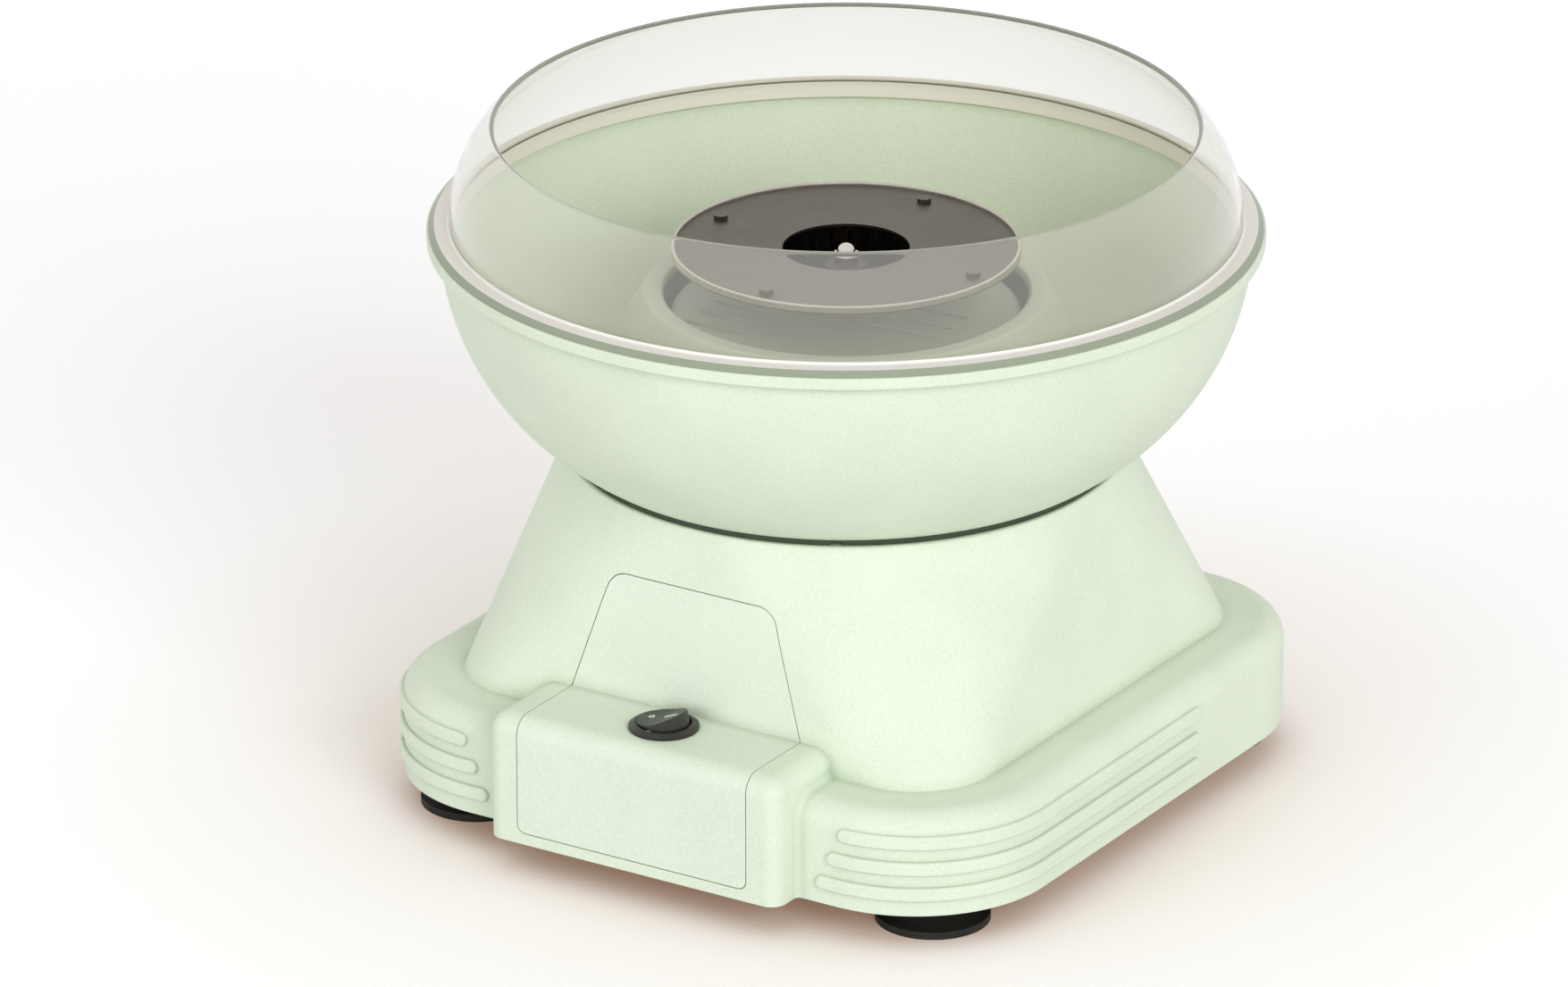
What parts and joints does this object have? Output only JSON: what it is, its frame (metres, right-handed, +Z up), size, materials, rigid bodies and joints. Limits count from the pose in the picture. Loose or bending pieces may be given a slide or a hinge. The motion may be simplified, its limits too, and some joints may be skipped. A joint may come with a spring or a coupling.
{
  "type": "cotton candy machine",
  "caption": "Electric tabletop cotton candy machine: square base with rocker switch, lift-off bowl with clear guard ring, and a spinning heated sugar head.",
  "frame": {"origin": "on the head's spin axis at the level of the surface the feet stand on", "axes": "+Z up along the spin axis, -Y towards the front with the switch, +X to the user's right"},
  "size_m": [0.28, 0.28, 0.2326],
  "materials": {
    "mint_plastic": "satin, fine grain",
    "panel_plastic": "satin, fine grain",
    "clear_plastic": "polished clear plastic",
    "black_plastic": "satin",
    "black_rubber": "matte",
    "seal_rubber": "matte",
    "head_metal": "brushed",
    "polished_steel": "polished",
    "zinc_steel": "zinc plated",
    "core_steel": "laminated",
    "motor_paint": "satin",
    "bronze": "sintered",
    "ceramic_white": "matte",
    "contact_brass": "bright"
  },
  "bodies": {
    "base": {"base_housing": "mint_plastic", "front_panel": "panel_plastic", "switch_body": "black_plastic", "switch_pivot_pin": "zinc_steel", "switch_blades": "contact_brass", "seal_ring": "seal_rubber", "heater_cover": "mint_plastic", "motor_bracket": "zinc_steel", "bracket_screws": "zinc_steel", "motor_screws": "zinc_steel", "motor_can": "motor_paint", "motor_end_cap": "motor_paint", "motor_stator": "core_steel", "upper_bearing": "bronze", "lower_bearing": "bronze", "heat_shield": "zinc_steel", "heater_posts": "ceramic_white", "heating_element": "zinc_steel", "thermal_cutout": "ceramic_white", "bottom_plate": "black_plastic", "plate_screws": "zinc_steel", "cover_screws": "zinc_steel", "foot_front_left": "black_rubber", "foot_rear_left": "black_rubber", "foot_front_right": "black_rubber", "foot_rear_right": "black_rubber", "cord_gland": "black_rubber", "terminal_block": "ceramic_white"},
    "rocker": {"switch_rocker": "black_plastic"},
    "bowl_body": {"bowl": "mint_plastic"},
    "guard_body": {"guard": "clear_plastic"},
    "spinner": {"head_disc": "head_metal", "head_pan": "head_metal", "head_band": "head_metal", "head_rivets": "head_metal", "cap_nut": "polished_steel", "drive_pin": "zinc_steel", "motor_shaft": "zinc_steel", "motor_rotor": "core_steel", "cooling_fan": "black_plastic"}
  },
  "joints": [
    {"name": "head_spin", "type": "hinge", "parent": "base", "child": "spinner", "pos_m": [0, 0, 0.15], "axis": [0, 0, 1], "continuous": true},
    {"name": "bowl_lift", "type": "slide", "parent": "base", "child": "bowl_body", "axis": [0, 0, 1], "range_m": [0, 0.09]},
    {"name": "guard_lift", "type": "slide", "parent": "bowl_body", "child": "guard_body", "axis": [0, 0, 1], "range_m": [0, 0.06]},
    {"name": "switch_rock", "type": "hinge", "parent": "base", "child": "rocker", "pos_m": [0, -0.1135, 0.0568], "axis": [0, 1, 0], "range_deg": [0, 30]}
  ]
}
